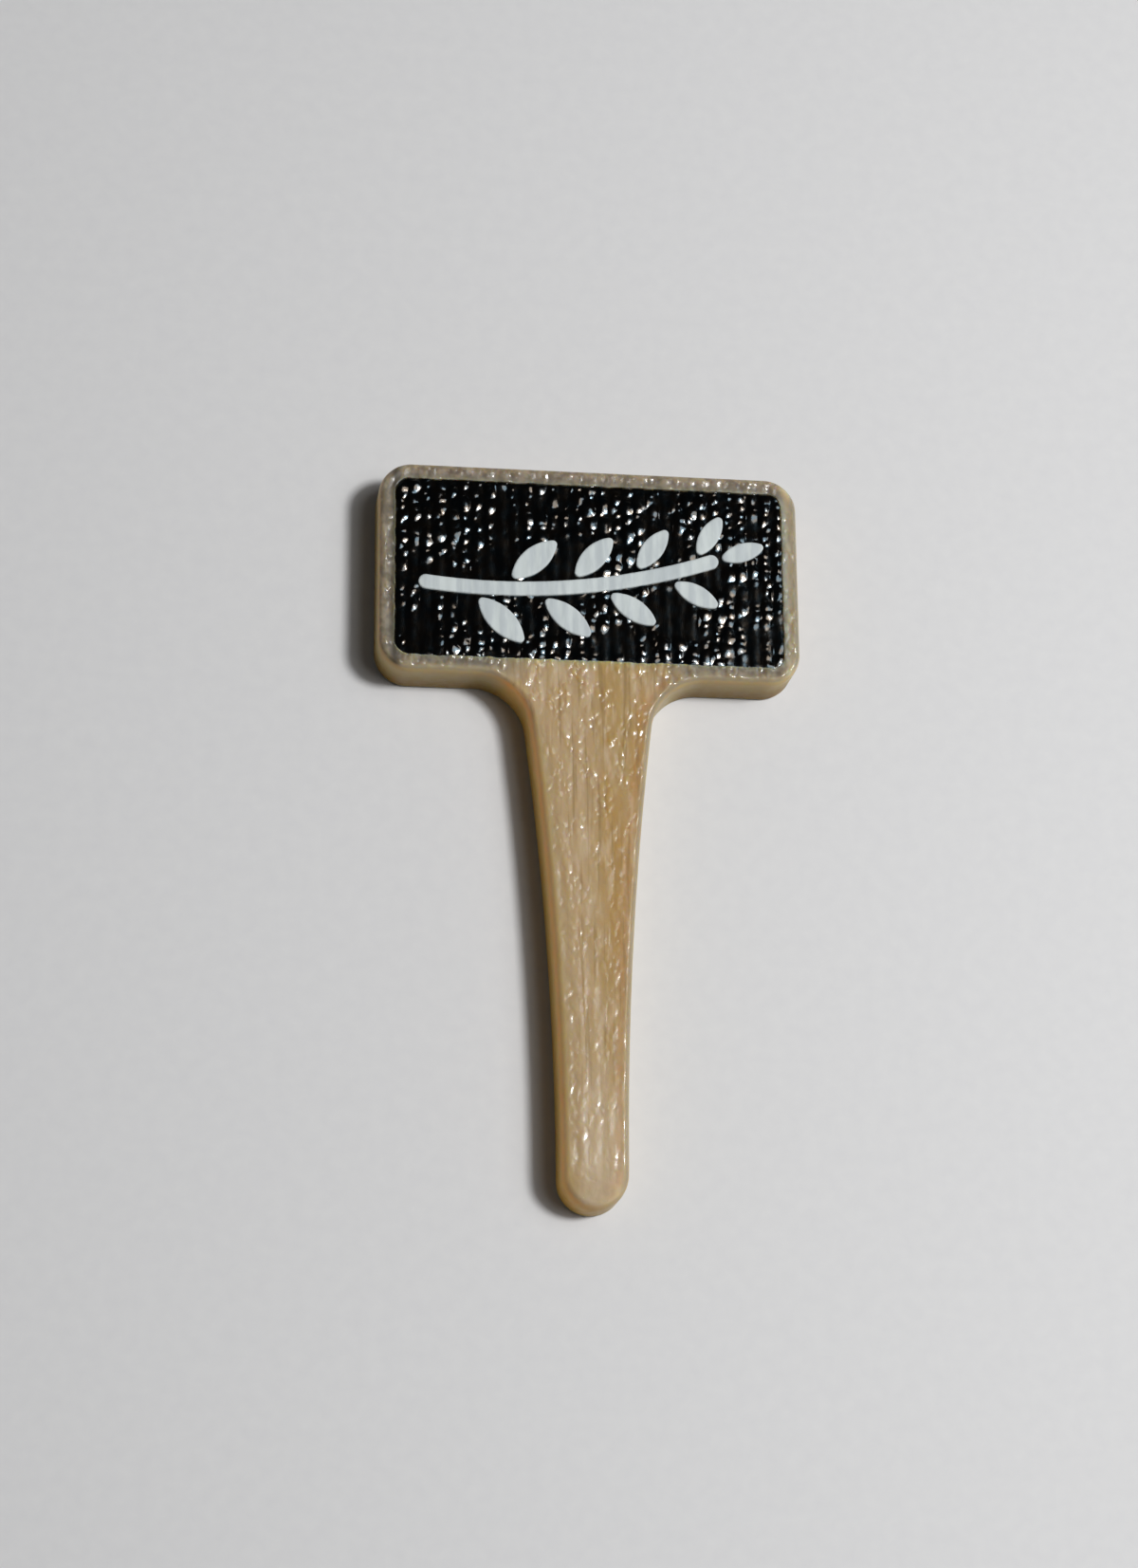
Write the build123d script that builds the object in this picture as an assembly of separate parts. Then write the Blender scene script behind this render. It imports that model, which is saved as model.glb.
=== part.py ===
from build123d import *

import math
import os

# A miniature plant label stake: a T-shaped plastic body, a black panel let into
# its head, and a white leafy sprig let into the panel.
#
# The stake lies on its back. X runs across the head, Y runs from the stake's tip
# to the head, and Z points out of the front face. The origin is in the middle of
# the outline, on the back face. All sizes are in millimetres.

# Body outline
HEAD_WIDTH = 14.0
HEAD_HEIGHT = 7.25
HEAD_CORNER_RADIUS = 1.1
STAKE_LENGTH = 17.45
NECK_WIDTH = 4.45
TIP_WIDTH = 2.15
NECK_FILLET_RADIUS = 1.8

# Body section
THICKNESS = 1.8
FRONT_EDGE_RADIUS = 0.3
BACK_EDGE_RADIUS = 0.12

# Panel, let into a pocket that leaves a rim round the head
RIM_WIDTH = 0.5
PANEL_THICKNESS = 0.4
PANEL_CORNER_RADIUS = 0.5
FIT_GAP = 0.02

# Sprig, let into slots in the panel and standing a little proud of it
STROKE_WIDTH = 0.48
STROKE_DEPTH = 0.2
STROKE_PROUD = 0.04
STEM_LEFT_MARGIN = 1.05
STEM_RIGHT_MARGIN = 2.45
STEM_RISE = 1.1
STEM_BOW = 0.55
LEAF_PAIRS = 4
LEAF_LENGTH = 2.1
LEAF_WIDTH = 0.9
LEAF_TIP_RADIUS = 0.14
LEAF_ANGLE = 42.0
LEAF_GAP = 0.16
LEAF_TAPER = 0.3
FIRST_LEAF_PLACE = 0.14
LAST_LEAF_PLACE = 0.92

# Places worked out from the sizes above
TOTAL_LENGTH = HEAD_HEIGHT + STAKE_LENGTH
HEAD_BOTTOM_Y = TOTAL_LENGTH / 2 - HEAD_HEIGHT
HEAD_CENTRE_Y = HEAD_BOTTOM_Y + HEAD_HEIGHT / 2
TIP_CENTRE_Y = -TOTAL_LENGTH / 2 + TIP_WIDTH / 2
POCKET_WIDTH = HEAD_WIDTH - 2 * RIM_WIDTH
POCKET_HEIGHT = HEAD_HEIGHT - 2 * RIM_WIDTH
POCKET_FLOOR_Z = THICKNESS - PANEL_THICKNESS
SLOT_FLOOR_Z = THICKNESS - STROKE_DEPTH


def stake_outline():
    """The tapering stake, from its round tip to the middle of the head."""
    tip_radius = TIP_WIDTH / 2
    tip_right = (tip_radius, TIP_CENTRE_Y)
    tip_left = (-tip_radius, TIP_CENTRE_Y)
    neck_right = (NECK_WIDTH / 2, HEAD_BOTTOM_Y)
    neck_left = (-NECK_WIDTH / 2, HEAD_BOTTOM_Y)
    inside_right = (NECK_WIDTH / 2, HEAD_CENTRE_Y)
    inside_left = (-NECK_WIDTH / 2, HEAD_CENTRE_Y)
    tip_bottom = (0, TIP_CENTRE_Y - tip_radius)
    edges = [
        TangentArc(tip_right, neck_right, tangent=(0, 1)),
        Polyline(neck_right, inside_right, inside_left, neck_left),
        TangentArc(tip_left, neck_left, tangent=(0, 1)),
        ThreePointArc(tip_left, tip_bottom, tip_right),
    ]
    return make_face(Curve() + edges)


def body_outline():
    """The T-shaped outline, with the head's lower edge curving into the stake."""
    head = Pos(0, HEAD_CENTRE_Y) * RectangleRounded(HEAD_WIDTH, HEAD_HEIGHT, HEAD_CORNER_RADIUS)
    outline = head + stake_outline()
    necks = [
        corner
        for corner in outline.vertices()
        if math.isclose(abs(corner.X), NECK_WIDTH / 2, abs_tol=1e-6)
        and math.isclose(corner.Y, HEAD_BOTTOM_Y, abs_tol=1e-6)
    ]
    return fillet(necks, NECK_FILLET_RADIUS)


def panel_outline(clearance):
    """The pocket's rounded rectangle, drawn in by a clearance on every side."""
    rectangle = RectangleRounded(
        POCKET_WIDTH - 2 * clearance,
        POCKET_HEIGHT - 2 * clearance,
        PANEL_CORNER_RADIUS - clearance,
    )
    return Pos(0, HEAD_CENTRE_Y) * rectangle


def make_body():
    """The plastic body, round along its front edges, with a pocket for the panel."""
    body = extrude(body_outline(), THICKNESS)
    front = body.faces().sort_by(Axis.Z)[-1].edges()
    body = fillet(front, FRONT_EDGE_RADIUS)
    back = body.faces().sort_by(Axis.Z)[0].edges()
    body = fillet(back, BACK_EDGE_RADIUS)
    pocket = extrude(Pos(0, 0, POCKET_FLOOR_Z) * panel_outline(0), PANEL_THICKNESS)
    return body - pocket


def stem_line():
    """The stem's centre line, a shallow arc across the panel."""
    start_x = -POCKET_WIDTH / 2 + STEM_LEFT_MARGIN
    end_x = POCKET_WIDTH / 2 - STEM_RIGHT_MARGIN
    start = (start_x, HEAD_CENTRE_Y - STEM_RISE / 2)
    middle = ((start_x + end_x) / 2, HEAD_CENTRE_Y - STEM_BOW)
    end = (end_x, HEAD_CENTRE_Y + STEM_RISE / 2)
    return ThreePointArc(start, middle, end)


def stem_outline(grow):
    """The stem's stroke, with round ends."""
    return make_face(offset(stem_line(), STROKE_WIDTH / 2 + grow))


def leaf_shape(length, width, end_radius):
    """A leaf along X about the origin: two long arcs, each tangent to a small arc at both ends."""
    end_x = length / 2 - end_radius
    end_y = width / 2 - end_radius
    side_centre_y = (end_x**2 - end_y**2) / (2 * end_y)
    reach = end_radius / math.hypot(end_x, side_centre_y)
    touch_x = end_x * (1 + reach)
    touch_y = side_centre_y * reach
    edges = [
        ThreePointArc((-touch_x, touch_y), (0, width / 2), (touch_x, touch_y)),
        ThreePointArc((touch_x, touch_y), (length / 2, 0), (touch_x, -touch_y)),
        ThreePointArc((touch_x, -touch_y), (0, -width / 2), (-touch_x, -touch_y)),
        ThreePointArc((-touch_x, -touch_y), (-length / 2, 0), (-touch_x, touch_y)),
    ]
    return make_face(Curve() + edges)


def leaf_outline(place, side, grow):
    """One leaf by the stem: place runs along the stem, and side is 1, -1 or 0 for the end leaf."""
    line = stem_line()
    share = 1 - LEAF_TAPER * place
    length = LEAF_LENGTH * share
    leaf = leaf_shape(length + 2 * grow, LEAF_WIDTH * share + 2 * grow, LEAF_TIP_RADIUS + grow)
    tangent = line % place
    heading = math.degrees(math.atan2(tangent.Y, tangent.X)) + side * LEAF_ANGLE
    clear = STROKE_WIDTH / 2 + LEAF_GAP
    away = clear / math.sin(math.radians(LEAF_ANGLE)) if side else clear
    return Pos(line @ place) * Rot(0, 0, heading) * Pos(away + length / 2, 0) * leaf


def sprig_outlines(grow=0.0):
    """Every stroke of the sprig by its name, each grown by the same amount all round."""
    outlines = {"sprig_stem": stem_outline(grow)}
    step = (LAST_LEAF_PLACE - FIRST_LEAF_PLACE) / (2 * LEAF_PAIRS - 1)
    for number in range(2 * LEAF_PAIRS):
        side = 1 if number % 2 else -1
        place = FIRST_LEAF_PLACE + number * step
        outlines[f"sprig_leaf_{number + 1}"] = leaf_outline(place, side, grow)
    outlines["sprig_end_leaf"] = leaf_outline(1, 0, grow)
    return outlines


def make_stroke(outline):
    """One white stroke, seated on its slot's floor and proud of the panel."""
    return extrude(Pos(0, 0, SLOT_FLOOR_Z) * outline, STROKE_DEPTH + STROKE_PROUD)


def make_panel():
    """The black panel, seated on the pocket's floor, with a slot for each stroke."""
    panel = extrude(Pos(0, 0, POCKET_FLOOR_Z) * panel_outline(FIT_GAP), PANEL_THICKNESS)
    for slot in sprig_outlines(FIT_GAP).values():
        panel -= extrude(Pos(0, 0, SLOT_FLOOR_Z) * slot, STROKE_DEPTH)
    return panel


def main():
    pieces = {"stake_body": make_body(), "label_panel": make_panel()}
    for name, outline in sprig_outlines().items():
        pieces[name] = make_stroke(outline)
    os.makedirs("parts", exist_ok=True)
    for name, piece in pieces.items():
        export_step(piece, f"parts/{name}.step")


main()
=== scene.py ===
import math

import bmesh
import bpy
import numpy as np
from mathutils import Matrix, Vector
from mathutils.geometry import delaunay_2d_cdt
from mathutils.kdtree import KDTree


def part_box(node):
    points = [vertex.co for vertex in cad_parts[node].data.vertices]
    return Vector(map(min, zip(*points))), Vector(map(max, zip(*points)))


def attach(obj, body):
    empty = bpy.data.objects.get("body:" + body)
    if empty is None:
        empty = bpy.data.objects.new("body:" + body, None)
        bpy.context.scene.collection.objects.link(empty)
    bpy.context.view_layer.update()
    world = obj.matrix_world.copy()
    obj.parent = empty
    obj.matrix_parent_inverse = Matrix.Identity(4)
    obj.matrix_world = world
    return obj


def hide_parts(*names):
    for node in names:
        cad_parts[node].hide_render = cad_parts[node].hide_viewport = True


# A miniature plant label stake, printed in tan plastic, with a black panel let into
# its head and a white leafy sprig painted on the panel. It lies on its back.
#
# Lengths in this script are millimetres. Meshes, lights and the camera are turned
# into metres where they are made.

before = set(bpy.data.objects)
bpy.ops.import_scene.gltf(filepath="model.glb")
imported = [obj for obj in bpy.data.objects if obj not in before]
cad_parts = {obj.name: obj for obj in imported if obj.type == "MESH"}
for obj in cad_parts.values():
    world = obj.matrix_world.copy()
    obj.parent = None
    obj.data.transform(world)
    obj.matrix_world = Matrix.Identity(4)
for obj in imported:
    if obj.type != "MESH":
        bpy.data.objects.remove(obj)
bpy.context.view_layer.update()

MM = 0.001


def box_in_mm(node):
    """The lowest and highest corners of a node, in millimetres."""
    return [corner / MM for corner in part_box(node)]


# Sizes read from the frame
body_low, body_high = box_in_mm("stake_body")
panel_low, panel_high = box_in_mm("label_panel")
HEAD_WIDTH = body_high.x - body_low.x
THICKNESS = body_high.z
TOP_Y = body_high.y
BOTTOM_Y = body_low.y
RIM_WIDTH = panel_low.x - body_low.x
HEAD_BOTTOM_Y = panel_low.y - RIM_WIDTH
HEAD_CENTRE_Y = (panel_low.y + panel_high.y) / 2
POCKET_FLOOR_Z = panel_low.z
SLOT_FLOOR_Z = box_in_mm("sprig_stem")[0].z

# The rest of the outline
HEAD_CORNER_RADIUS = 1.1
NECK_WIDTH = 4.45
NECK_FILLET_RADIUS = 1.8
TIP_WIDTH = 2.15
PANEL_CORNER_RADIUS = 0.5
BACK_EDGE_RADIUS = 0.12

# Printed layers on the walls
LAYER_HEIGHT = 0.2
LAYER_GROOVE = 0.005
GROOVE_SHARPNESS = 4

# The round bead along the edge: the inset and height of its crest, and the seam inside it
HEAD_CREST_INSET = 0.16
HEAD_CREST_HEIGHT = 0.36
STAKE_CREST_INSET = 0.22
STAKE_CREST_HEIGHT = 0.45
TIP_CREST_INSET = 0.22
TIP_CREST_HEIGHT = 0.6
HEAD_SEAM = 0.04
STAKE_SEAM = 0.006
BEAD_FALL = 0.28
HEAD_CHANGE_START = 1.6
HEAD_CHANGE_RUN = 1.8

# The front falls away towards the tip
TIP_RUN = 1.7
TIP_DROP = 0.4

# Unevenness of the bead's crest. Here and below, a grain is the width of its noise
# across the stake, the length along the stake, and a seed.
CREST_WAVE = 0.01
CREST_WAVE_GRAIN = (0.4, 0.5, 53)
CREST_ROUGH = 0.007
CREST_ROUGH_GRAIN = (0.17, 0.21, 59)
CREST_PATCH_GRAIN = (1.3, 1.1, 57)
CREST_GAIN = 1.2
HEAD_CREST_GAIN = 0.3
HEAD_CREST_GAIN_START = 1
HEAD_CREST_GAIN_RUN = 2

# Printed lines on the front, which run along the stake
LINE_PITCH = 0.42
LINE_WANDER = 0.05
LINE_WANDER_GRAIN = (3.0, 2.5, 11)
LINE_APART = 7.3

# Lines and lumps on the panel, with more lumps in its upper half
PANEL_DROP = 0.085
PANEL_EDGE = 0.15
PANEL_EDGE_SHARE = 0.4
FIT_GAP = 0.005
RAGGED_INSET = 0.02
RAGGED_WAVE = 0.025
RAGGED_WAVE_GRAIN = (0.4, 0.5, 61)
RAGGED_ROUGH = 0.01
RAGGED_ROUGH_GRAIN = (0.15, 0.17, 67)
LINE_HEIGHT = 0.008
LINE_UNEVEN = 0.5
LINE_UNEVEN_GRAIN = (1.0, 2.2, 31)
LUMP_SEED = 23
LUMP_SPACING = 0.28
LUMP_REACH = 0.24
LUMP_STRETCH = 1.1
LUMP_HEIGHT = 0.044
LUMP_SIZE = 0.35
LUMP_SIZE_RANGE = 0.9
LUMP_SIZE_SKEW = 1.5
LUMP_SHIFT = 0.4
LUMP_SHIFT_ACROSS = 0.7
LUMP_WARP = 0.04
LUMP_WARP_X_GRAIN = (0.25, 0.25, 47)
LUMP_WARP_Y_GRAIN = (0.25, 0.25, 49)
BUSY_SHARE = 0.48
BUSY_UPPER_SHARE = 0.5
BUSY_UPPER_RUN = 2
BUSY_LINE_GRAIN = (1.0, 1.6, 35)
BUSY_PATCH_GRAIN = (1.7, 1.3, 37)
PANEL_ROUGH = 0.004
PANEL_ROUGH_GRAIN = (0.25, 0.3, 41)

# Softer lines and small drops of varnish on the tan front, with more drops towards the head
SOFT_LINE_HEIGHT = 0.008
SOFT_LINE_GAIN = 0.7
SOFT_LINE_UNEVEN = 0.6
SOFT_LINE_GRAIN = (1.0, 4.0, 71)
STREAK_HEIGHT = 0.004
STREAK_GRAIN = (0.3, 1.2, 73)
RIPPLE_HEIGHT = 0.003
RIPPLE_GRAIN = (0.2, 0.35, 79)
DROP_SEED = 97
DROP_SPACING = 0.23
DROP_REACH = 0.15
DROP_STRETCH = 1.6
DROP_HEIGHT = 0.022
DROP_LEAST_SIZE = 0.3
DROP_WARP = 0.03
DROP_WARP_X_GRAIN = (0.2, 0.2, 101)
DROP_WARP_Y_GRAIN = (0.2, 0.2, 103)
DROP_SHARE = 0.35
DROP_UPPER_SHARE = 0.25
DROP_PATCHES = 1.2
DROP_PATCH_GRAIN = (0.7, 1.1, 83)
DROP_GAIN = 0.65
DROP_UPPER_GAIN = 0.95
DROP_UPPER_START_Y = -4
DROP_UPPER_RUN = 9
FRONT_ROUGH = 0.006
FRONT_ROUGH_GRAIN = (0.16, 0.2, 89)
EDGE_LINES = 2
EDGE_LINE_NUMBER = 30
LEFT_FALL_GAIN = 2
RIM_GAIN = 1.6
TOP_RIM_CALM = 0.9

# Mesh spacing
ARC_STEP = 0.01
OUTLINE_STEP = 0.07
FRONT_STEP_X = 0.03
FRONT_STEP_Y = 0.04
PANEL_STEP = 0.032
PAINT_STEP = 0.04
EDGE_CLEARANCE = 0.6
BACK_EDGE_ROWS = 4
WALL_ROWS = 24
BEAD_ROWS = 14
SAME_POINT = 1e-9
MERGE_DISTANCE = 0.001
TRIANGLES_INSIDE = 1
CDT_EPSILON = 1e-6
NOISE_CELLS = 256
NOISE_GAIN = 1.5

# Sprig
STROKE_WIDTH = 0.48
STEM_LEFT_MARGIN = 1.03
STEM_RIGHT_MARGIN = 2.43
STEM_RISE = 1.1
STEM_BOW = 0.55
LEAF_PAIRS = 4
LEAF_LENGTH = 2.1
LEAF_WIDTH = 0.9
LEAF_TIP_RADIUS = 0.14
LEAF_ANGLE = 42.0
LEAF_GAP = 0.16
LEAF_TAPER = 0.3
FIRST_LEAF_PLACE = 0.14
LAST_LEAF_PLACE = 0.92
PAINT_LEVEL = 0.008
PAINT_EDGE = 0.06
PAINT_GROOVE = 0.008

# Colours of the stake's front, with painted light along its edges and walls
TAN_PALE = (0.5, 0.36, 0.2, 1)
TAN_WARM = (0.46, 0.325, 0.145, 1)
TAN_AMBER = (0.45, 0.26, 0.07, 1)
# Pale streaks along the lines: partly paler plastic, partly a painted sheen
TAN_STREAK_AND_SHEEN = (0.62, 0.485, 0.33, 1)
TAN_GROOVE = (0.33, 0.22, 0.085, 1)
# A painted sheen that makes the front paler towards the tip
TAN_TIP_SHEEN = (0.6, 0.49, 0.35, 1)
# Painted light along the stake's edges: painted amber shade on the front towards the shaded left side, a
# painted amber glow of light shining through at the very left edge, and painted shade on the right edge,
# which faces the light
STAKE_LEFT_AMBER_SHADE = (0.465, 0.34, 0.185, 1)
STAKE_LEFT_EDGE_GLOW = (0.6, 0.435, 0.19, 1)
STAKE_RIGHT_EDGE_SHADE = (0.27, 0.24, 0.175, 1)
# Painted light on the stake's walls: a painted amber glow of light shining through, painted shade
# towards the floor, and painted shade on walls that face right, towards the light
STAKE_WALL_GLOW = (0.75, 0.48, 0.155, 1)
STAKE_WALL_SHADE = (0.54, 0.28, 0.055, 1)
STAKE_RIGHT_WALL_SHADE = (0.45, 0.34, 0.165, 1)
LEFT_EDGE_REACH = 0.3
RIGHT_EDGE_REACH = 0.45
LEFT_SHADE_REACH = 0.9

# Colours of the head's rim and walls, with painted light: a painted sheen on the bottom crest, painted
# shade beside the panel on the left and on the right crest, painted light on the right rim, and a
# painted glow and painted shade on the walls
RIM_DARK = (0.197, 0.17, 0.127, 1)
RIM_PALE = (0.325, 0.282, 0.213, 1)
BOTTOM_CREST_SHEEN = (0.36, 0.31, 0.22, 1)
LEFT_RIM_SHADE = (0.1, 0.087, 0.068, 1)
RIGHT_RIM_LIT = (0.46, 0.43, 0.32, 1)
RIGHT_CREST_SHADE = (0.24, 0.225, 0.18, 1)
# Painted glow of light shining through the head's walls, and painted shade towards the floor
HEAD_WALL_GLOW = (0.52, 0.41, 0.2, 1)
HEAD_WALL_SHADE = (0.23, 0.127, 0.022, 1)

# Colours of the panel, the paint and the floor
BLACK_COOL = (0.0004, 0.0007, 0.001, 1)
BLACK_WARM = (0.0014, 0.001, 0.0008, 1)
SHEEN_COOL = (0.6, 0.84, 1, 1)
SHEEN_WARM = (1, 0.84, 0.68, 1)
PAINT_FULL = (0.6, 0.655, 0.65, 1)
PAINT_THIN = (0.49, 0.54, 0.555, 1)
FLOOR_DARK = (0.66, 0.66, 0.67, 1)
FLOOR_PALE = (0.72, 0.72, 0.72, 1)

# Floor and light
FLOOR_HALF = 600
FLOOR_DROP = 0.002
KEY_PLACE = (110, 9, 204)
KEY_SIZE = 44
KEY_POWER = 0.36
SOFTBOX_PLACE = (115, 9, 214)
SOFTBOX_SIZE = 165
SOFTBOX_POWER = 0.18
HORIZON_LIGHT = 0.36
ZENITH_LIGHT = 0.008
ZENITH_START = 0.6

# The camera: its tilt from straight above, its turn about the part, its roll and its aim
CAMERA_TILT = math.radians(19.03)
CAMERA_TURN = math.radians(24.56)
CAMERA_ROLL = math.radians(-0.49)
CAMERA_DISTANCE = 109.0
CAMERA_AIM = Vector((-0.524, 1.954, 0))
CAMERA_LENS = 76.22

# The colour sockets of a mix node, which share their names with other sockets
MIX_FIRST = 6
MIX_SECOND = 7
MIX_RESULT = 2


def arc(centre, radius, start, end):
    """Points on an arc, from one angle to another in degrees."""
    count = max(2, math.ceil(abs(math.radians(end - start)) * radius / ARC_STEP))
    angles = np.radians(np.linspace(start, end, count))
    return np.column_stack([centre[0] + radius * np.cos(angles), centre[1] + radius * np.sin(angles)])


def flank_arc():
    """The centre and radius of the long arc along the stake's right side."""
    tip = TIP_WIDTH / 2
    tip_y = BOTTOM_Y + tip
    flare = NECK_WIDTH / 2 - tip
    rise = HEAD_BOTTOM_Y - tip_y
    radius = (flare**2 + rise**2) / (2 * flare)
    return (tip + radius, tip_y), radius


def neck_centre():
    """The centre of the arc between the head and the stake, on the right."""
    (flank_x, tip_y), flank = flank_arc()
    neck_y = HEAD_BOTTOM_Y - NECK_FILLET_RADIUS
    neck_x = flank_x - math.sqrt((flank - NECK_FILLET_RADIUS) ** 2 - (neck_y - tip_y) ** 2)
    return neck_x, neck_y


def half_outline():
    """The right half of the outline, from the middle of the head's top edge to the tip."""
    side = HEAD_WIDTH / 2
    corner = HEAD_CORNER_RADIUS
    tip = TIP_WIDTH / 2
    (flank_x, tip_y), flank = flank_arc()
    neck_x, neck_y = neck_centre()
    meet = math.degrees(math.atan2(neck_y - tip_y, neck_x - flank_x))
    return np.vstack([
        [(0, TOP_Y)],
        arc((side - corner, TOP_Y - corner), corner, 90, 0),
        arc((side - corner, HEAD_BOTTOM_Y + corner), corner, 0, -90),
        arc((neck_x, neck_y), NECK_FILLET_RADIUS, 90, meet),
        arc((flank_x, tip_y), flank, meet, 180),
        arc((0, tip_y), tip, 0, -90),
    ])


def even_loop(points, step):
    """A closed loop through the points with even steps, and its normals to the left."""
    closed = np.vstack([points, points[:1]])
    lengths = np.hypot(*np.diff(closed, axis=0).T)
    closed = closed[np.append(lengths > SAME_POINT, True)]
    along = np.append(0, np.cumsum(lengths[lengths > SAME_POINT]))
    count = round(along[-1] / step)
    places = np.arange(count) * along[-1] / count
    loop = np.column_stack([np.interp(places, along, closed[:, axis]) for axis in (0, 1)])
    tangent = np.roll(loop, -1, axis=0) - np.roll(loop, 1, axis=0)
    tangent /= np.hypot(*tangent.T)[:, None]
    return loop, np.column_stack([-tangent[:, 1], tangent[:, 0]])


def body_outline():
    """The body's outline, clockwise seen from the front, and its outward normals."""
    right = half_outline()
    left = right[::-1] * (-1, 1)
    return even_loop(np.vstack([right, left[1:-1]]), OUTLINE_STEP)


def fade(share):
    """A smooth step from 0 to 1."""
    share = np.clip(share, 0, 1)
    return share**3 * (share * (6 * share - 15) + 10)


def noise(x, y, width, length, seed):
    """Seeded smooth noise from about -1 to 1, with features of about a width and a length."""
    angles = np.random.default_rng(seed).uniform(0, 2 * math.pi, (NOISE_CELLS, NOISE_CELLS))
    column, across = np.divmod(x / width, 1)
    row, up = np.divmod(y / length, 1)
    total = np.zeros_like(x)
    for right in (0, 1):
        for high in (0, 1):
            cell = (column.astype(int) + right) % NOISE_CELLS, (row.astype(int) + high) % NOISE_CELLS
            slope = np.cos(angles[cell]) * (across - right) + np.sin(angles[cell]) * (up - high)
            total += slope * fade(1 - abs(across - right)) * fade(1 - abs(up - high))
    return NOISE_GAIN * total


def line_place(x, y):
    """Each point's printed line, and its place across that line from -0.5 to 0.5."""
    wander = LINE_WANDER * noise(x, y, *LINE_WANDER_GRAIN)
    across = (x + wander) / LINE_PITCH
    line = np.round(across)
    return line, across - line


def line_column(line):
    """Where noise is read for a printed line, far enough apart that neighbours are unlike."""
    return LINE_APART * line + 0.5


def round_line(across):
    """The section of a printed line whose grooves are filled with varnish, from 0 to 1."""
    return (1 + np.cos(2 * math.pi * across)) / 2


def domes(column, across, row, up, centres, sizes, spacing, reach, stretch):
    """The height of the highest dome over each point, where every cell of a grid holds one dome."""
    height = np.zeros_like(across)
    for right in (-1, 0, 1):
        for high in (-1, 0, 1):
            cell = (column + right).astype(int) % NOISE_CELLS, (row + high).astype(int) % NOISE_CELLS
            off_x = (across - right - centres[cell][:, 0]) * spacing[0]
            off_y = (up - high - centres[cell][:, 1]) * spacing[1] / stretch
            size = sizes[cell]
            dome = np.clip(1 - (off_x**2 + off_y**2) / (reach * size) ** 2, 0, 1)
            height = np.maximum(height, size * dome)
    return height


def lumps(x, y):
    """Uneven lumps along each of the panel's printed lines, as a share of LUMP_HEIGHT."""
    rng = np.random.default_rng(LUMP_SEED)
    shift = rng.uniform(-LUMP_SHIFT, LUMP_SHIFT, (NOISE_CELLS, NOISE_CELLS, 2))
    centres = shift * (LUMP_SHIFT_ACROSS, 1) + (0, 0.5)
    sizes = LUMP_SIZE + LUMP_SIZE_RANGE * rng.uniform(0, 1, (NOISE_CELLS, NOISE_CELLS)) ** LUMP_SIZE_SKEW
    line, across = line_place(x, y)
    across = across + LUMP_WARP * noise(x, y, *LUMP_WARP_X_GRAIN) / LINE_PITCH
    warped_y = y + LUMP_WARP * noise(x, y, *LUMP_WARP_Y_GRAIN)
    row, up = np.divmod(warped_y / LUMP_SPACING, 1)
    spacing = (LINE_PITCH, LUMP_SPACING)
    return domes(line, across, row, up, centres, sizes, spacing, LUMP_REACH, LUMP_STRETCH)


def drops(x, y):
    """Small drops of varnish scattered over the tan front, from 0 to 1."""
    rng = np.random.default_rng(DROP_SEED)
    centres = rng.uniform(0, 1, (NOISE_CELLS, NOISE_CELLS, 2))
    sizes = rng.uniform(DROP_LEAST_SIZE, 1, (NOISE_CELLS, NOISE_CELLS))
    x = x + DROP_WARP * noise(x, y, *DROP_WARP_X_GRAIN)
    y = y + DROP_WARP * noise(x, y, *DROP_WARP_Y_GRAIN)
    column, across = np.divmod(x / DROP_SPACING, 1)
    row, up = np.divmod(y / DROP_SPACING, 1)
    spacing = (DROP_SPACING, DROP_SPACING)
    return domes(column, across, row, up, centres, sizes, spacing, DROP_REACH, DROP_STRETCH)


def panel_relief(x, y):
    """The height of the panel's lines and lumps above the grooves between the lines."""
    line, across = line_place(x, y)
    column = line_column(line)
    gain = 1 + LINE_UNEVEN * noise(column, y, *LINE_UNEVEN_GRAIN)
    ridge = LINE_HEIGHT * gain * round_line(across)
    busy = BUSY_SHARE + BUSY_UPPER_SHARE * fade((y - HEAD_CENTRE_Y) / BUSY_UPPER_RUN)
    busy = busy + noise(column, y, *BUSY_LINE_GRAIN) + noise(x, y, *BUSY_PATCH_GRAIN)
    rough = PANEL_ROUGH * noise(x, y, *PANEL_ROUGH_GRAIN)
    return ridge + fade(busy) * (LUMP_HEIGHT * lumps(x, y) + rough)


def front_relief(x, y):
    """The height of the tan front's lines and drops, where varnish fills most of the grooves."""
    line, across = line_place(x, y)
    gain = SOFT_LINE_GAIN + SOFT_LINE_UNEVEN * noise(line_column(line), y, *SOFT_LINE_GRAIN)
    ridge = SOFT_LINE_HEIGHT * gain * round_line(across)
    streak = STREAK_HEIGHT * noise(x, y, *STREAK_GRAIN) + RIPPLE_HEIGHT * noise(x, y, *RIPPLE_GRAIN)
    upper = fade((y - DROP_UPPER_START_Y) / DROP_UPPER_RUN)
    busy = DROP_SHARE + DROP_UPPER_SHARE * upper + DROP_PATCHES * noise(x, y, *DROP_PATCH_GRAIN)
    rough = FRONT_ROUGH * noise(x, y, *FRONT_ROUGH_GRAIN)
    varnish = DROP_HEIGHT * drops(x, y) + rough
    return ridge + streak + fade(busy) * (DROP_GAIN + DROP_UPPER_GAIN * upper) * varnish


def along_edge(tip, stake, head, y):
    """A size of the edge that changes from the tip to the stake and on to the head."""
    up = fade((y - HEAD_BOTTOM_Y + HEAD_CHANGE_START) / HEAD_CHANGE_RUN)
    down = fade((BOTTOM_Y + TIP_WIDTH / 2 - y) / (TIP_WIDTH / 2))
    return stake + (head - stake) * up + (tip - stake) * down


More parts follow.
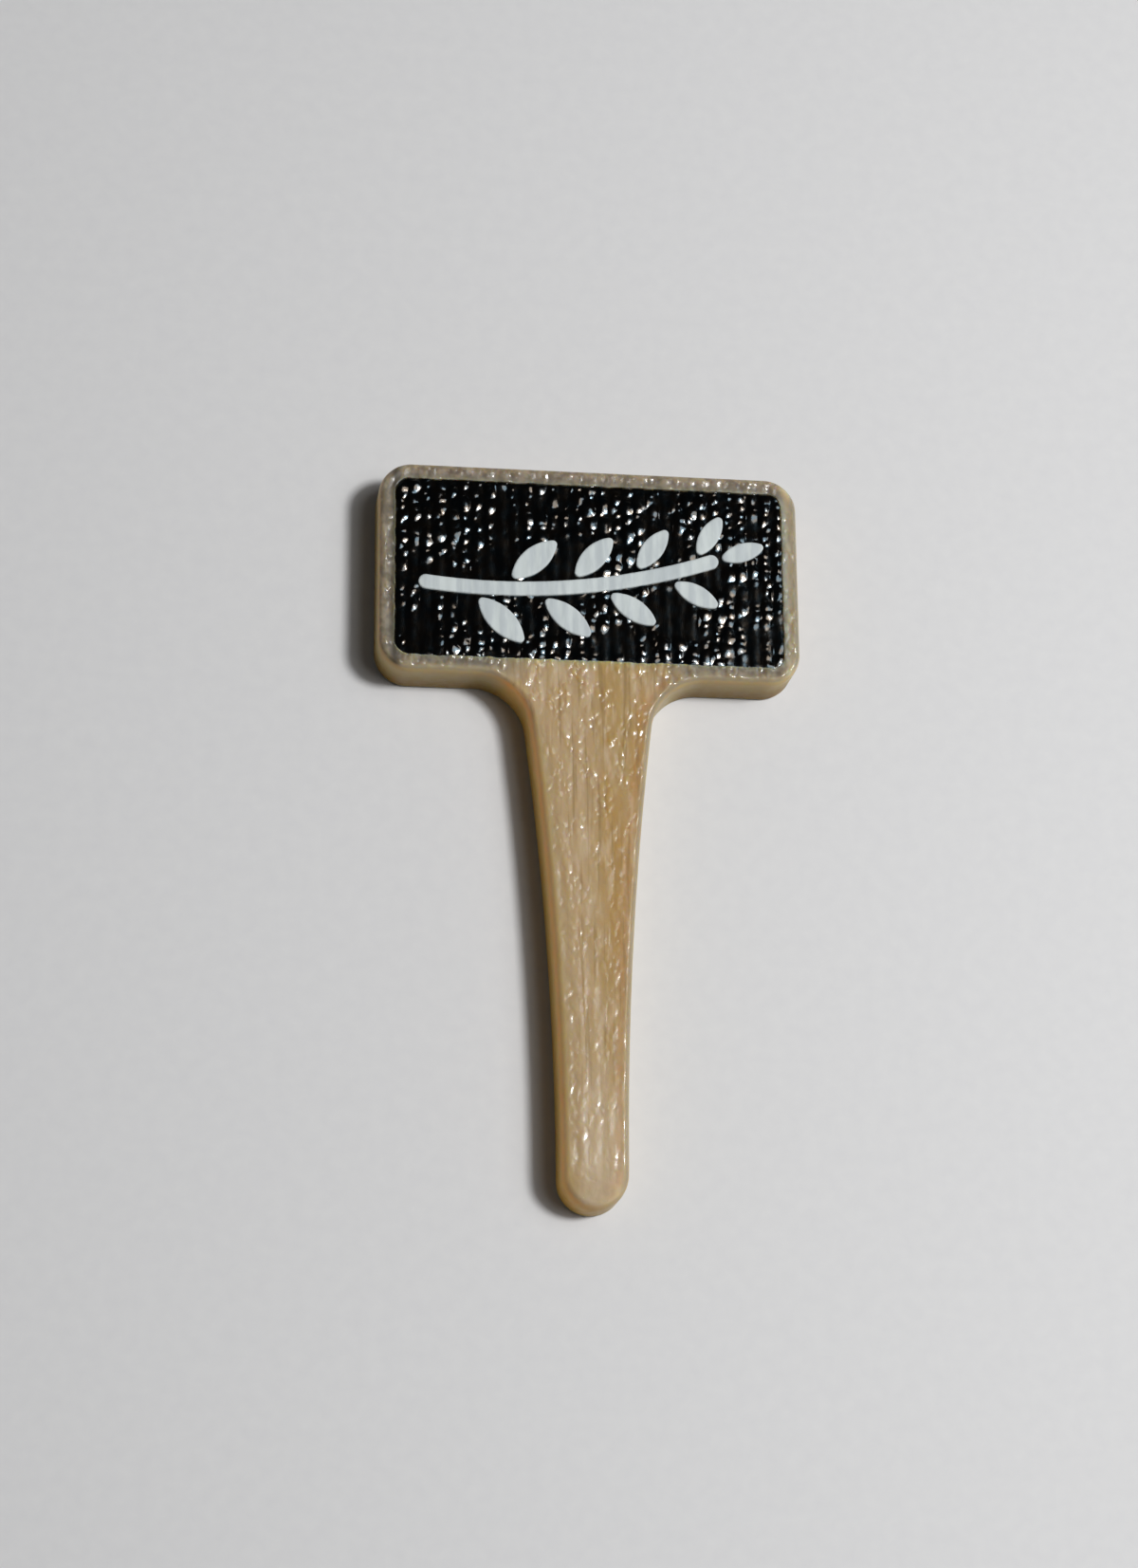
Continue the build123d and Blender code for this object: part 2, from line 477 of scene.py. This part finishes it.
def crest_inset(y):
    """How far in from the edge its round bead is highest."""
    return along_edge(TIP_CREST_INSET, STAKE_CREST_INSET, HEAD_CREST_INSET, y)


def crest_height(y):
    """How far the bead's crest stands above the straight wall below it."""
    return along_edge(TIP_CREST_HEIGHT, STAKE_CREST_HEIGHT, HEAD_CREST_HEIGHT, y)


def bead_fall(inset, y):
    """How far the round bead along the edge lies below its crest."""
    crest = crest_inset(y)
    outer = 1 - np.sqrt(np.clip(1 - ((crest - inset) / crest) ** 2, 0, 1))
    seam = along_edge(0, STAKE_SEAM, HEAD_SEAM, y)
    return np.where(inset < crest, crest_height(y) * outer, seam * fade((inset - crest) / BEAD_FALL))


def bead_rough(x, y):
    """Small unevenness on the bead's crest, more of it round the head."""
    head = fade((y - HEAD_BOTTOM_Y + HEAD_CREST_GAIN_START) / HEAD_CREST_GAIN_RUN)
    patchy = fade(0.5 + noise(x, y, *CREST_PATCH_GRAIN))
    wave = CREST_WAVE * noise(x, y, *CREST_WAVE_GRAIN)
    rough = CREST_ROUGH * patchy * noise(x, y, *CREST_ROUGH_GRAIN)
    return (CREST_GAIN + HEAD_CREST_GAIN * head) * (wave + rough)


def distances(points, loop):
    """The distance from each point to the nearest point of a loop."""
    tree = KDTree(len(loop))
    for number, (x, y) in enumerate(loop):
        tree.insert((x, y, 0), number)
    tree.balance()
    return np.array([tree.find((x, y, 0))[2] for x, y in points])


def body_front(points, inset):
    """The height of the body's front at points that lie inset from its edge."""
    x, y = points.T
    crest = crest_inset(y)

    # The outer lines of the stake follow its edge, and start further in on its left
    by_edge = (inset < EDGE_LINES * LINE_PITCH) & (y < HEAD_BOTTOM_Y - NECK_FILLET_RADIUS / 2)
    edge_x = (np.sign(x) * EDGE_LINE_NUMBER - 0.5) * LINE_PITCH + inset
    start = along_edge(TIP_CREST_INSET / 2, 0, 0, y)
    reach = BEAD_FALL * np.where(by_edge & (x < 0), LEFT_FALL_GAIN, 1)
    lines = front_relief(np.where(by_edge, edge_x, x), y) * fade((inset - start) / reach)

    # The rim is rougher than the stake, but less so along the head's top
    top = fade((y - HEAD_CENTRE_Y) / (panel_high.y - HEAD_CENTRE_Y))
    lines = lines * (along_edge(1, 1, RIM_GAIN, y) - TOP_RIM_CALM * top)

    rough = bead_rough(x, y) * fade(inset / crest) * fade(2 - (inset - crest) / BEAD_FALL)
    dip = TIP_DROP * np.clip((BOTTOM_Y + TIP_RUN - y) / TIP_RUN, 0, 1) ** 2
    return THICKNESS - dip - bead_fall(inset, y) + lines + rough


def panel_front(points, inset):
    """The height of the panel's front, which is flatter along its edge."""
    x, y = points.T
    share = PANEL_EDGE_SHARE + (1 - PANEL_EDGE_SHARE) * fade(inset / PANEL_EDGE)
    return THICKNESS - PANEL_DROP + panel_relief(x, y) * share


def paint_front(points, inset):
    """The height of a painted stroke, which dips over the panel's grooves and rounds off at its edge."""
    across = line_place(*points.T)[1]
    edge = np.sqrt(np.clip(1 - (1 - inset / PAINT_EDGE) ** 2, 0, 1))
    rise = PAINT_LEVEL * np.where(inset < PAINT_EDGE, edge, 1)
    return THICKNESS + rise - PAINT_GROOVE * (1 - round_line(across))


def inside(points, loop):
    """Which points lie inside a closed loop."""
    x, y = points.T
    hit = np.zeros(len(points), bool)
    for (x0, y0), (x1, y1) in zip(loop, np.roll(loop, -1, axis=0)):
        if y0 == y1:
            continue
        crosses = (y0 > y) != (y1 > y)
        hit ^= crosses & (x < x0 + (y - y0) * (x1 - x0) / (y1 - y0))
    return hit


def grid_points(low, high, step_x, step_y):
    """A grid of points with every other row shifted by half a step."""
    xs = np.arange(low[0], high[0], step_x)
    ys = np.arange(low[1], high[1], step_y)
    x, y = np.meshgrid(xs, ys)
    x[1::2] += step_x / 2
    return np.column_stack([x.ravel(), y.ravel()])


def fill(loops, points):
    """Flat triangles inside the first loop and outside the others, through the points."""
    coords = []
    edges = []
    for loop in loops:
        first = len(coords)
        coords.extend(loop)
        edges.extend((first + i, first + (i + 1) % len(loop)) for i in range(len(loop)))
    coords.extend(points)
    vectors = [Vector(point) for point in coords]
    found = delaunay_2d_cdt(vectors, edges, [], TRIANGLES_INSIDE, CDT_EPSILON)
    corners = np.array([tuple(point) for point in found[0]])
    triangles = np.array(found[2])
    middles = corners[triangles].mean(axis=1)
    kept = inside(middles, loops[0])
    for hole in loops[1:]:
        kept &= ~inside(middles, hole)
    return corners, triangles[kept]


class Surface:
    """Points and faces that become one mesh."""

    def __init__(self):
        self.points = []
        self.faces = []
        self.flat = []

    def add(self, points, faces):
        """Adds faces that index their own points."""
        first = len(self.points)
        self.points.extend(points)
        self.faces.extend([tuple(first + i for i in face) for face in faces])

    def add_strip(self, rings):
        """Adds quads between closed rings of equally many points."""
        count = len(rings[0])
        for low, high in zip(rings, rings[1:]):
            quads = [(i, (i + 1) % count, count + (i + 1) % count, count + i) for i in range(count)]
            self.add(np.vstack([low, high]), quads)

    def add_cap(self, ring):
        """Adds one flat face over a ring."""
        self.flat.append(len(self.faces))
        self.add(ring, [range(len(ring))])

    def make(self, name):
        """Makes the object, with points that coincide joined and normals outward."""
        mesh = bpy.data.meshes.new(name)
        mesh.from_pydata((np.array(self.points) * MM).tolist(), [], self.faces)
        smooth = np.ones(len(self.faces), bool)
        smooth[self.flat] = False
        mesh.polygons.foreach_set("use_smooth", smooth)
        work = bmesh.new()
        work.from_mesh(mesh)
        bmesh.ops.remove_doubles(work, verts=work.verts, dist=MERGE_DISTANCE * MM)
        bmesh.ops.recalc_face_normals(work, faces=work.faces)
        work.to_mesh(mesh)
        work.free()
        piece = bpy.data.objects.new(name, mesh)
        bpy.context.scene.collection.objects.link(piece)
        return piece


def at_height(loop, height):
    """Loop points with a height, which may be one number or one for each point."""
    return np.column_stack([loop, np.broadcast_to(height, len(loop))])


def panel_loop(grow):
    """The panel's slightly ragged edge, grown by a clearance."""
    corners = []
    reach_x = (panel_high.x - panel_low.x) / 2 - PANEL_CORNER_RADIUS
    reach_y = (panel_high.y - panel_low.y) / 2 - PANEL_CORNER_RADIUS
    for turn, (side_x, side_y) in enumerate([(1, 1), (-1, 1), (-1, -1), (1, -1)]):
        centre = (side_x * reach_x, HEAD_CENTRE_Y + side_y * reach_y)
        corners.append(arc(centre, PANEL_CORNER_RADIUS, turn * 90, turn * 90 + 90))
    loop, inward = even_loop(np.vstack(corners), OUTLINE_STEP / 2)
    x, y = loop.T
    wave = RAGGED_WAVE * noise(x, y, *RAGGED_WAVE_GRAIN)
    rough = RAGGED_ROUGH * noise(x, y, *RAGGED_ROUGH_GRAIN)
    return loop - inward * (grow + wave + rough - RAGGED_INSET)[:, None]


def wall_rings(outline, outward):
    """Rings up the body's wall, from its back edge over the printed layers to the bead's crest."""
    rings = []
    for angle in np.radians(np.linspace(0, 90, BACK_EDGE_ROWS)):
        inset = BACK_EDGE_RADIUS * (1 - math.sin(angle))
        rings.append(at_height(outline - outward * inset, BACK_EDGE_RADIUS * (1 - math.cos(angle))))
    wall_top = body_front(outline, np.zeros(len(outline)))
    for share in np.linspace(0, 1, WALL_ROWS, endpoint=False)[1:]:
        height = BACK_EDGE_RADIUS + (wall_top - BACK_EDGE_RADIUS) * share
        groove = LAYER_GROOVE * abs(2 * ((height / LAYER_HEIGHT) % 1) - 1) ** GROOVE_SHARPNESS
        rings.append(at_height(outline - outward * groove[:, None], height))
    crest = crest_inset(outline[:, 1])
    for angle in np.radians(np.linspace(0, 90, BEAD_ROWS)):
        inset = crest * (1 - math.cos(angle))
        ring = outline - outward * inset[:, None]
        rings.append(at_height(ring, body_front(ring, inset)))
    return rings


def make_body():
    """The body: its walls and bead, the lines on its front, and the panel's pocket."""
    outline, outward = body_outline()
    rings = wall_rings(outline, outward)
    shell = Surface()
    shell.add_strip(rings)
    shell.add_cap(rings[0])

    seam = rings[-1][:, :2]
    pocket = panel_loop(FIT_GAP)
    grid = grid_points((body_low.x, BOTTOM_Y), (body_high.x, TOP_Y), FRONT_STEP_X, FRONT_STEP_Y)
    grid = grid[inside(grid, seam)]
    grid = grid[~inside(grid, pocket)]
    clear = np.minimum(distances(grid, seam), distances(grid, pocket))
    grid = grid[clear > FRONT_STEP_X * EDGE_CLEARANCE]
    flat, triangles = fill([seam, pocket], grid)
    shell.add(at_height(flat, body_front(flat, distances(flat, outline))), triangles)

    brim = at_height(pocket, body_front(pocket, distances(pocket, outline)))
    shell.add_strip([brim, at_height(pocket, POCKET_FLOOR_Z)])
    shell.add_cap(at_height(pocket, POCKET_FLOOR_Z))
    return shell.make("printed_body")


def make_plate(name, loop, front, bottom, step):
    """A plate inside a loop, with a shaped front, straight sides and a flat underside."""
    grid = grid_points(loop.min(0), loop.max(0), step, step)
    grid = grid[inside(grid, loop)]
    grid = grid[distances(grid, loop) > step * EDGE_CLEARANCE]
    flat, triangles = fill([loop], grid)
    plate = Surface()
    plate.add(at_height(flat, front(flat, distances(flat, loop))), triangles)
    brim = at_height(loop, front(loop, np.zeros(len(loop))))
    plate.add_strip([brim, at_height(loop, bottom)])
    plate.add_cap(at_height(loop, bottom))
    return plate.make(name)


def on_circle(centre, radius, angle):
    """The point of a circle at an angle in radians."""
    return centre[0] + radius * math.cos(angle), centre[1] + radius * math.sin(angle)


def stem_arc():
    """The centre, radius and end angles in degrees of the stem's line."""
    start = Vector((panel_low.x + STEM_LEFT_MARGIN, HEAD_CENTRE_Y - STEM_RISE / 2))
    end = Vector((panel_high.x - STEM_RIGHT_MARGIN, HEAD_CENTRE_Y + STEM_RISE / 2))
    middle = Vector(((start.x + end.x) / 2, HEAD_CENTRE_Y - STEM_BOW))
    rows = np.array([end - start, middle - start]) * 2
    sums = [end.length_squared - start.length_squared, middle.length_squared - start.length_squared]
    centre = np.linalg.solve(rows, sums)
    radius = math.hypot(start.x - centre[0], start.y - centre[1])
    angles = [math.degrees(math.atan2(p.y - centre[1], p.x - centre[0])) for p in (start, end)]
    return centre, radius, angles


def stem_loop():
    """The stem's stroke with round ends."""
    centre, radius, (start, end) = stem_arc()
    half = STROKE_WIDTH / 2
    first = on_circle(centre, radius, math.radians(start))
    last = on_circle(centre, radius, math.radians(end))
    points = np.vstack([
        arc(centre, radius + half, start, end),
        arc(last, half, end, end + 180),
        arc(centre, radius - half, end, start),
        arc(first, half, start + 180, start + 360),
    ])
    return even_loop(points, PAINT_STEP)[0]


def leaf_shape(length, width):
    """A leaf along X about the origin: two long arcs joined by small arcs at both ends."""
    end_x = length / 2 - LEAF_TIP_RADIUS
    end_y = width / 2 - LEAF_TIP_RADIUS
    side_y = (end_x**2 - end_y**2) / (2 * end_y)
    side = math.hypot(end_x, side_y) + LEAF_TIP_RADIUS
    lean = math.degrees(math.atan2(side_y, end_x))
    return np.vstack([
        arc((end_x, 0), LEAF_TIP_RADIUS, -lean, lean),
        arc((0, -side_y), side, lean, 180 - lean),
        arc((-end_x, 0), LEAF_TIP_RADIUS, 180 - lean, 180 + lean),
        arc((0, side_y), side, 180 + lean, 360 - lean),
    ])


def leaf_loop(place, side):
    """One leaf by the stem: place runs along the stem, and side is 1, -1 or 0 for the end leaf."""
    centre, radius, (start, end) = stem_arc()
    along = math.radians(start + (end - start) * place)
    share = 1 - LEAF_TAPER * place
    clear = STROKE_WIDTH / 2 + LEAF_GAP
    away = clear / math.sin(math.radians(LEAF_ANGLE)) if side else clear
    leaf = leaf_shape(LEAF_LENGTH * share, LEAF_WIDTH * share) + (away + LEAF_LENGTH * share / 2, 0)
    turn = along + math.pi / 2 + math.radians(side * LEAF_ANGLE)
    turned = np.column_stack([
        leaf[:, 0] * math.cos(turn) - leaf[:, 1] * math.sin(turn),
        leaf[:, 0] * math.sin(turn) + leaf[:, 1] * math.cos(turn),
    ])
    return even_loop(turned + on_circle(centre, radius, along), PAINT_STEP)[0]


def sprig_loops():
    """The outline of every stroke, by its CAD node."""
    loops = {"sprig_stem": stem_loop()}
    step = (LAST_LEAF_PLACE - FIRST_LEAF_PLACE) / (2 * LEAF_PAIRS - 1)
    for number in range(2 * LEAF_PAIRS):
        side = 1 if number % 2 else -1
        loops[f"sprig_leaf_{number + 1}"] = leaf_loop(FIRST_LEAF_PLACE + number * step, side)
    loops["sprig_end_leaf"] = leaf_loop(1, 0)
    return loops


class Look:
    """A material, and the nodes that vary it over a piece."""

    def __init__(self, name):
        self.material = bpy.data.materials.new(name)
        self.material.use_nodes = True
        self.nodes = self.material.node_tree.nodes
        self.links = self.material.node_tree.links
        self.shader = self.nodes["Principled BSDF"]

    def feed(self, node, socket, value):
        """Gives a node's input a number, a colour or another node's output."""
        if isinstance(value, bpy.types.NodeSocket):
            self.links.new(value, node.inputs[socket])
        else:
            node.inputs[socket].default_value = value

    def shade(self, settings):
        """Sets inputs of the shader."""
        for socket, value in settings.items():
            self.feed(self.shader, socket, value)

    def coordinates(self, kind):
        """Places on the piece in metres, or the directions that its surface faces."""
        return self.nodes.new("ShaderNodeTexCoord").outputs[kind]

    def part(self, vector, axis):
        """One coordinate of a vector."""
        split = self.nodes.new("ShaderNodeSeparateXYZ")
        self.links.new(vector, split.inputs[0])
        return split.outputs[axis]

    def ramp(self, value, low, high, share=(0, 1)):
        """A smooth step from one share to another as a value goes from low to high."""
        step = self.nodes.new("ShaderNodeMapRange")
        step.interpolation_type = "SMOOTHSTEP"
        start, end = share
        settings = {"Value": value, "From Min": low, "From Max": high, "To Min": start, "To Max": end}
        for socket, setting in settings.items():
            self.feed(step, socket, setting)
        return step.outputs["Result"]

    def along(self, axis, start, end, share=(0, 1)):
        """A share that changes between two places along an axis, in millimetres."""
        return self.ramp(self.part(self.coordinates("Object"), axis), start * MM, end * MM, share)

    def around(self, point, start, end, share=(0, 1)):
        """A share that changes between two distances from a point, in millimetres."""
        gap = self.nodes.new("ShaderNodeVectorMath")
        gap.operation = "DISTANCE"
        gap.inputs[1].default_value = [size * MM for size in point]
        self.links.new(self.coordinates("Object"), gap.inputs[0])
        return self.ramp(gap.outputs["Value"], start * MM, end * MM, share)

    def facing(self, axis):
        """How far the surface faces along an axis, from -1 to 1."""
        return self.part(self.coordinates("Normal"), axis)

    def noise(self, size, detail=2.0):
        """Noise from 0 to 1 with features of a width and a length along the stake, in millimetres."""
        width, length = size
        stretch = self.nodes.new("ShaderNodeMapping")
        stretch.inputs["Scale"].default_value = [1 / (side * MM) for side in (width, length, width)]
        self.links.new(self.coordinates("Object"), stretch.inputs["Vector"])
        texture = self.nodes.new("ShaderNodeTexNoise")
        texture.inputs["Scale"].default_value = 1
        texture.inputs["Detail"].default_value = detail
        self.links.new(stretch.outputs["Vector"], texture.inputs["Vector"])
        return texture.outputs["Fac"]

    def patches(self, size, cut, share=(0, 1), detail=2.0):
        """Soft patches of a size, where a share changes as noise passes between two levels."""
        return self.ramp(self.noise(size, detail), *cut, share)

    def times(self, first, second):
        """The product of two outputs."""
        product = self.nodes.new("ShaderNodeMath")
        product.operation = "MULTIPLY"
        self.feed(product, 0, first)
        self.feed(product, 1, second)
        return product.outputs[0]

    def blend(self, share, first, second):
        """A colour between two others."""
        mix = self.nodes.new("ShaderNodeMix")
        mix.data_type = "RGBA"
        self.feed(mix, "Factor", share)
        self.feed(mix, MIX_FIRST, first)
        self.feed(mix, MIX_SECOND, second)
        return mix.outputs[MIX_RESULT]

    def bump(self, height, depth):
        """A surface normal tilted by a height map that is depth millimetres deep."""
        bump = self.nodes.new("ShaderNodeBump")
        bump.inputs["Distance"].default_value = depth * MM
        self.feed(bump, "Height", height)
        return bump.outputs["Normal"]


def stake_colour(look):
    """The stake's front: warmer on the right, under a painted sheen that makes it paler towards the tip,
    and streaked along its lines with pale streaks that are partly painted sheen.
    """
    right = look.along("X", start=-0.3, end=0.6)
    warm = look.times(right, look.patches(size=(1.0, 3.0), cut=(0.25, 0.5)))
    tan = look.blend(warm, TAN_PALE, TAN_WARM)
    upper_right = look.times(right, look.along("Y", start=-10, end=-4))
    amber = look.patches(size=(0.8, 3.5), cut=(0.35, 0.6), share=(0.05, 0.5))
    tan = look.blend(look.times(upper_right, amber), tan, TAN_AMBER)
    # Pale streaks, partly paler plastic along the lines and partly a painted sheen
    streaks_and_sheen = look.patches(size=(0.3, 1.4), cut=(0.48, 0.7), share=(0, 0.65), detail=2.5)
    tan = look.blend(streaks_and_sheen, tan, TAN_STREAK_AND_SHEEN)
    grooves = look.patches(size=(0.14, 3.0), cut=(0.54, 0.67), share=(0, 0.55), detail=1.0)
    tan = look.blend(grooves, tan, TAN_GROOVE)
    # Painted sheen, paler towards the tip
    low = look.along("Y", start=BOTTOM_Y + 0.4, end=BOTTOM_Y + 7, share=(0.7, 0.05))
    return look.blend(low, tan, TAN_TIP_SHEEN)


def edge_light(look, tan):
    """The stake's front with painted light along its edges: painted amber shade and a painted amber glow
    of light shining through on the left, and painted shade on the right and round the neck's fillet.
    """
    (flank_x, tip_y), flank = flank_arc()
    left = (-flank_x, tip_y, THICKNESS)
    right = (flank_x, tip_y, THICKNESS)
    below_neck = look.along("Y", start=HEAD_BOTTOM_Y - 2.6, end=HEAD_BOTTOM_Y - 0.8, share=(1, 0))
    edges = (
        (left, LEFT_EDGE_REACH, LEFT_SHADE_REACH, STAKE_LEFT_AMBER_SHADE),
        (left, 0, LEFT_EDGE_REACH, STAKE_LEFT_EDGE_GLOW),
        (right, 0, RIGHT_EDGE_REACH, STAKE_RIGHT_EDGE_SHADE),
    )
    for centre, start, end, colour in edges:
        near = look.around(centre, flank + start, flank + end, share=(1, 0))
        tan = look.blend(look.times(below_neck, near), tan, colour)
    # Painted shade round the neck's fillet on the right
    fillet = (*neck_centre(), THICKNESS)
    near = look.around(fillet, NECK_FILLET_RADIUS, NECK_FILLET_RADIUS + RIGHT_EDGE_REACH, share=(1, 0))
    return look.blend(near, tan, STAKE_RIGHT_EDGE_SHADE)


def rim_colour(look):
    """The head's rim: mottled, with a painted sheen on the bottom crest, painted shade beside the panel
    on the left, and painted light on the right with painted shade on its crest.
    """
    rim = look.blend(look.patches(size=(0.35, 0.35), cut=(0.35, 0.65)), RIM_DARK, RIM_PALE)
    # A painted sheen along the bottom crest
    off_bottom = look.along("Y", start=HEAD_BOTTOM_Y + 0.02, end=HEAD_BOTTOM_Y + 0.42)
    rim = look.blend(off_bottom, BOTTOM_CREST_SHEEN, rim)
    # Painted shade on the left rim beside the panel
    towards_panel = look.along("X", start=panel_low.x - 0.24, end=panel_low.x + 0.02)
    beside_panel = look.along("X", start=panel_low.x, end=panel_low.x + 0.3, share=(1, 0))
    rim = look.blend(look.times(towards_panel, beside_panel), rim, LEFT_RIM_SHADE)
    # Painted light on the right rim, and painted shade on its crest, which faces the light
    right = look.along("X", start=panel_high.x - 0.2, end=panel_high.x + 0.2)
    rim = look.blend(right, rim, RIGHT_RIM_LIT)
    crest = look.along("X", start=body_high.x - 0.4, end=body_high.x - 0.1)
    return look.blend(crest, rim, RIGHT_CREST_SHADE)


def wall_light(look, head):
    """The walls' painted light: a painted glow of light shining through, painted shade that darkens them
    towards the floor, and painted shade on stake walls that face right, towards the light.
    """
    high = look.along("Z", start=0.1, end=1.7)
    stake_wall_light = look.blend(high, STAKE_WALL_SHADE, STAKE_WALL_GLOW)
    stake_wall_light = look.blend(look.ramp(look.facing("X"), -0.7, 0.6), stake_wall_light, STAKE_RIGHT_WALL_SHADE)
    head_wall_light = look.blend(high, HEAD_WALL_SHADE, HEAD_WALL_GLOW)
    return look.blend(head, stake_wall_light, head_wall_light)


def tan_material():
    """Tan plastic that lets some light through, under a clear gloss varnish on its front."""
    look = Look("tan_printed_plastic")
    off_neck = look.around((0, HEAD_BOTTOM_Y, THICKNESS), start=1.6, end=3.6)
    head = look.times(off_neck, look.along("Y", start=HEAD_BOTTOM_Y - 0.5, end=HEAD_BOTTOM_Y))
    tan = look.blend(head, edge_light(look, stake_colour(look)), rim_colour(look))
    upright = look.times(look.facing("Z"), look.facing("Z"))
    wall = look.ramp(upright, 0, 0.35, share=(0.95, 0))
    front = look.ramp(look.facing("Z"), 0.2, 0.9)
    varnish = look.patches(size=(0.25, 0.5), cut=(0.42, 0.58), share=(0.1, 1))
    look.shade({
        "Base Color": look.blend(wall, tan, wall_light(look, head)),
        "Roughness": look.patches(size=(0.3, 0.9), cut=(0.3, 0.7), share=(0.3, 0.46)),
        "Specular IOR Level": 0.1,
        "Subsurface Weight": 1.0,
        "Subsurface Radius": (1.0, 0.58, 0.17),
        "Subsurface Scale": 1.1 * MM,
        "Coat Weight": look.times(front, varnish),
        "Coat Roughness": 0.14,
        "Normal": look.bump(look.noise(size=(0.15, 0.2)), depth=0.006),
        "Coat Normal": look.bump(look.noise(size=(0.12, 0.16)), depth=0.005),
    })
    return look.material


def black_material():
    """Black plastic under a clear gloss varnish."""
    look = Look("black_gloss_film")
    tint = look.patches(size=(0.6, 1.6), cut=(0.35, 0.65))
    sheen = look.patches(size=(0.25, 0.25), cut=(0.35, 0.65))
    look.shade({
        "Base Color": look.blend(tint, BLACK_COOL, BLACK_WARM),
        "Roughness": look.patches(size=(0.2, 0.5), cut=(0.3, 0.7), share=(0.09, 0.15)),
        "IOR": 1.6,
        "Specular IOR Level": 1.0,
        "Specular Tint": look.blend(sheen, SHEEN_COOL, SHEEN_WARM),
        "Normal": look.bump(look.noise(size=(0.1, 0.12), detail=1.0), depth=0.0015),
    })
    return look.material


def white_material():
    """Matte white paint, thinner over the grooves of the lines below."""
    look = Look("white_paint")
    cover = look.patches(size=(0.24, 1.6), cut=(0.35, 0.65), detail=3.0)
    look.shade({
        "Base Color": look.blend(cover, PAINT_THIN, PAINT_FULL),
        "Roughness": look.patches(size=(0.2, 0.3), cut=(0.3, 0.7), share=(0.5, 0.7)),
        "Normal": look.bump(look.noise(size=(0.1, 0.15), detail=3.0), depth=0.003),
    })
    return look.material


def floor_material():
    """A plain pale floor with a very faint grain."""
    look = Look("pale_floor")
    look.shade({
        "Base Color": look.blend(look.noise(size=(0.5, 0.5), detail=4.0), FLOOR_DARK, FLOOR_PALE),
        "Roughness": 0.65,
    })
    return look.material


def dress(piece, node, material):
    """Gives a piece its material and its body, and hides the CAD node that it stands for."""
    piece.data.materials.append(material)
    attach(piece, "root")
    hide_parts(node)


def make_floor():
    """A large plane just under the part."""
    corners = [(-1, -1, 0), (1, -1, 0), (1, 1, 0), (-1, 1, 0)]
    plane = Surface()
    plane.add(np.array(corners) * FLOOR_HALF, [(0, 1, 2, 3)])
    floor = plane.make("floor")
    floor.location.z = -FLOOR_DROP * MM
    floor.data.materials.append(floor_material())


def area_light(name, place, size, power):
    """A round light at a place, facing the part."""
    light = bpy.data.lights.new(name, "AREA")
    light.shape = "DISK"
    light.size = size * MM
    light.energy = power
    lamp = bpy.data.objects.new(name, light)
    lamp.location = Vector(place) * MM
    lamp.rotation_mode = "QUATERNION"
    lamp.rotation_quaternion = Vector(place).to_track_quat("Z", "Y")
    bpy.context.scene.collection.objects.link(lamp)


def make_lights():
    """A key light from the right in a larger softbox, and a fill that is brightest near the horizon."""
    area_light("key", KEY_PLACE, KEY_SIZE, KEY_POWER)
    area_light("softbox", SOFTBOX_PLACE, SOFTBOX_SIZE, SOFTBOX_POWER)
    world = bpy.data.worlds.new("studio")
    world.use_nodes = True
    nodes = world.node_tree.nodes
    links = world.node_tree.links
    split = nodes.new("ShaderNodeSeparateXYZ")
    links.new(nodes.new("ShaderNodeTexCoord").outputs["Generated"], split.inputs[0])
    level = nodes.new("ShaderNodeMapRange")
    level.inputs["From Max"].default_value = ZENITH_START
    level.inputs["To Min"].default_value = HORIZON_LIGHT
    level.inputs["To Max"].default_value = ZENITH_LIGHT
    links.new(split.outputs["Z"], level.inputs["Value"])
    links.new(level.outputs["Result"], nodes["Background"].inputs["Strength"])
    nodes["Background"].inputs["Color"].default_value = (1, 1, 1, 1)
    bpy.context.scene.world = world


def make_camera():
    """The camera at the photograph's angle."""
    data = bpy.data.cameras.new("camera")
    data.lens = CAMERA_LENS
    data.clip_start = 1 * MM
    camera = bpy.data.objects.new("camera", data)
    bpy.context.scene.collection.objects.link(camera)
    back = Vector((
        -math.sin(CAMERA_TILT) * math.sin(CAMERA_TURN),
        -math.sin(CAMERA_TILT) * math.cos(CAMERA_TURN),
        math.cos(CAMERA_TILT),
    ))
    right = Vector((0, 1, 0)).cross(back).normalized()
    up = back.cross(right)
    level = Matrix((right, up, back)).transposed().to_4x4()
    place = Matrix.Translation((CAMERA_AIM + back * CAMERA_DISTANCE) * MM)
    camera.matrix_world = place @ level @ Matrix.Rotation(CAMERA_ROLL, 4, "Z")
    bpy.context.scene.camera = camera


def main():
    """Builds the dressed part and the studio round it."""
    dress(make_body(), "stake_body", tan_material())
    panel = make_plate("panel_film", panel_loop(0), panel_front, POCKET_FLOOR_Z, PANEL_STEP)
    dress(panel, "label_panel", black_material())
    paint = white_material()
    for node, loop in sprig_loops().items():
        stroke = make_plate("painted_" + node, loop, paint_front, SLOT_FLOOR_Z, PAINT_STEP)
        dress(stroke, node, paint)
    make_floor()
    make_lights()
    make_camera()
    bpy.context.scene.view_settings.view_transform = "Standard"


main()
